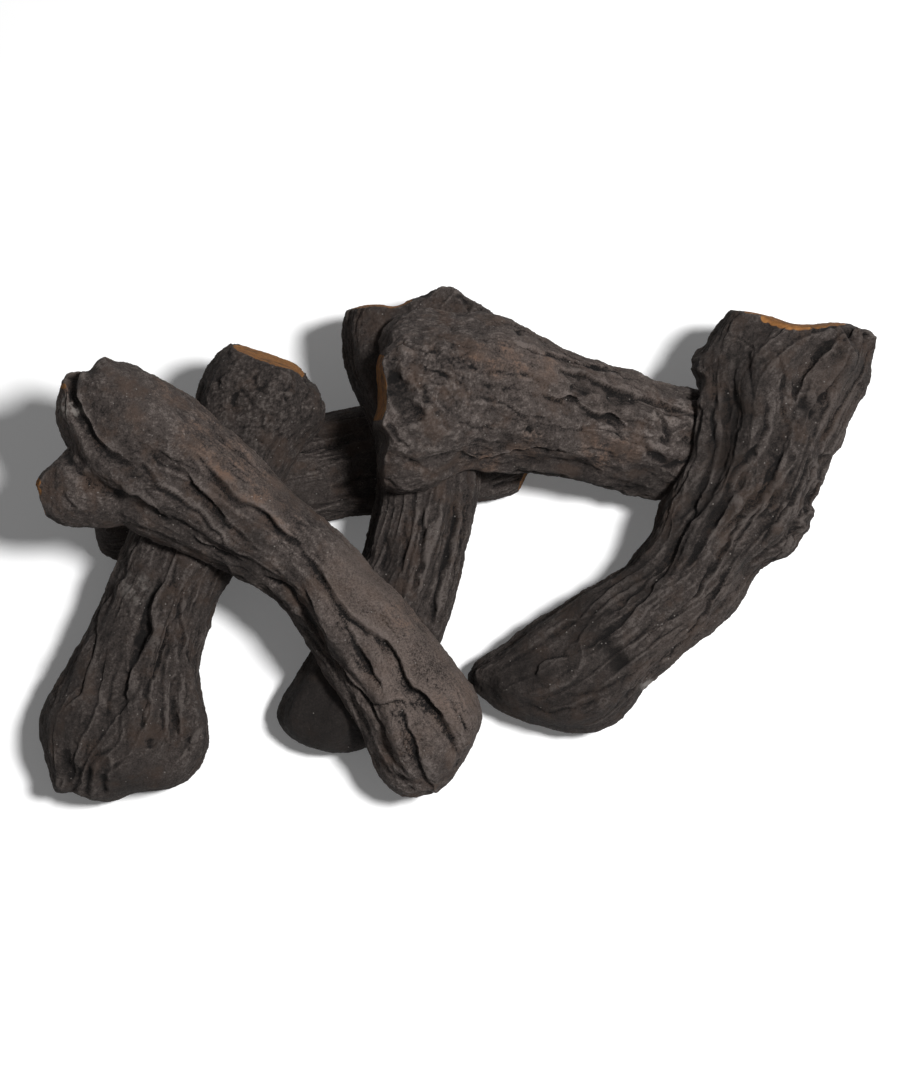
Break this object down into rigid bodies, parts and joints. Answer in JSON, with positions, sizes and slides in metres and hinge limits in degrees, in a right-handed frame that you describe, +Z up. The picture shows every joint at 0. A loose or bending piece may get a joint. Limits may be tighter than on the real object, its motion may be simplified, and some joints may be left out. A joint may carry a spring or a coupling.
{
  "type": "gas log set",
  "caption": "Set of loose moulded ceramic logs for a gas fire, stacked crosswise so the flames rise between them.",
  "frame": {"origin": "middle of the set's footprint, on the hearth", "axes": "+X to the right as the set is faced, +Y to the back of the fire, +Z up"},
  "size_m": [0.3798, 0.2392, 0.1064],
  "materials": {
    "charred_ceramic": "matt, rough moulded bark, painted charred brown with ochre sawn ends"
  },
  "bodies": {
    "rear": {"rear_log": "charred_ceramic"},
    "left": {"left_log": "charred_ceramic"},
    "centre": {"centre_log": "charred_ceramic"},
    "front": {"front_log": "charred_ceramic"},
    "top": {"top_log": "charred_ceramic"},
    "right": {"right_log": "charred_ceramic"}
  },
  "joints": [
    {"name": "centre_lift", "type": "slide", "parent": "rear", "child": "centre", "axis": [0, 0, 1], "range_m": [0, 0.14]},
    {"name": "left_lift", "type": "slide", "parent": "centre", "child": "left", "axis": [0, 0, 1], "range_m": [0, 0.14]},
    {"name": "front_lift", "type": "slide", "parent": "left", "child": "front", "axis": [0, 0, 1], "range_m": [0, 0.14]},
    {"name": "top_lift", "type": "slide", "parent": "centre", "child": "top", "axis": [0, 0, 1], "range_m": [0, 0.14]},
    {"name": "right_lift", "type": "slide", "parent": "top", "child": "right", "axis": [0, 0, 1], "range_m": [0, 0.14]}
  ]
}
